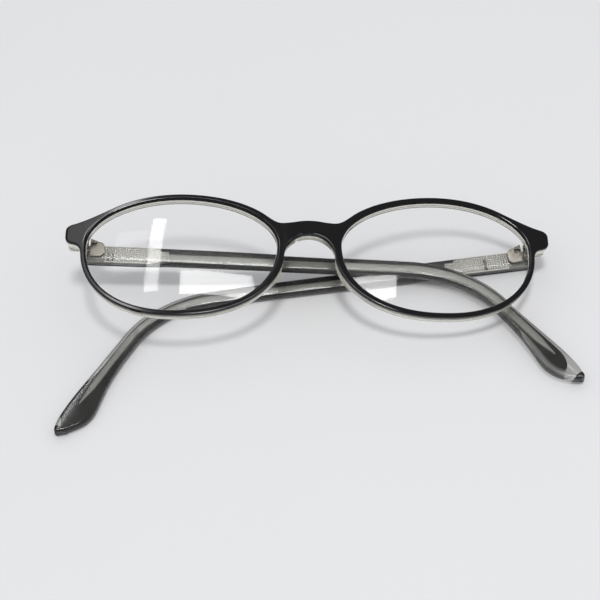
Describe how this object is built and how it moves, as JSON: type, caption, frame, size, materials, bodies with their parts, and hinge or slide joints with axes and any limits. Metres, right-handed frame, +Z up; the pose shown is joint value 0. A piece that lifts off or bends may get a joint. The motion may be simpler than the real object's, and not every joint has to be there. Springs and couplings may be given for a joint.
{
  "type": "reading glasses",
  "caption": "Folded reading glasses with an oval, laminated black and clear plastic frame, clear lenses and wire-cored folding arms on screwed hinges.",
  "frame": {"origin": "centre of the outline on the table the folded glasses lie on", "axes": "+Z up from the table, +X along the front from the wearer's right to left, +Y towards the front's top edge"},
  "size_m": [0.1344, 0.0632, 0.0238],
  "materials": {
    "black_acetate": "polished, glossy near-black",
    "crystal_acetate": "polished, clear with a faint warm tint",
    "lens_plastic": "clear, coated",
    "hinge_metal": "satin nickel silver",
    "screw_metal": "bright",
    "core_metal": "matt, knurled at the hinge end"
  },
  "bodies": {
    "front": {"front_black_layer": "black_acetate", "front_crystal_layer": "crystal_acetate", "right_lens": "lens_plastic", "left_lens": "lens_plastic", "right_nose_pad": "crystal_acetate", "left_nose_pad": "crystal_acetate", "right_front_hinge_leaf": "hinge_metal", "left_front_hinge_leaf": "hinge_metal", "right_hinge_screw": "screw_metal", "left_hinge_screw": "screw_metal"},
    "right_arm": {"right_arm_black_layer": "black_acetate", "right_arm_crystal_layer": "crystal_acetate", "right_arm_core_wire": "core_metal", "right_arm_hinge_leaf": "hinge_metal"},
    "left_arm": {"left_arm_black_layer": "black_acetate", "left_arm_crystal_layer": "crystal_acetate", "left_arm_core_wire": "core_metal", "left_arm_hinge_leaf": "hinge_metal"}
  },
  "joints": [
    {"name": "right_arm_hinge", "type": "hinge", "parent": "front", "child": "right_arm", "pos_m": [-0.06058, 0.0201, 0.01406], "axis": [0, 0.9798, 0.2001], "range_deg": [0, 90.6]},
    {"name": "left_arm_hinge", "type": "hinge", "parent": "front", "child": "left_arm", "pos_m": [0.05632, 0.02204, 0.00455], "axis": [0, -0.9798, -0.2001], "range_deg": [0, 86.2]}
  ]
}
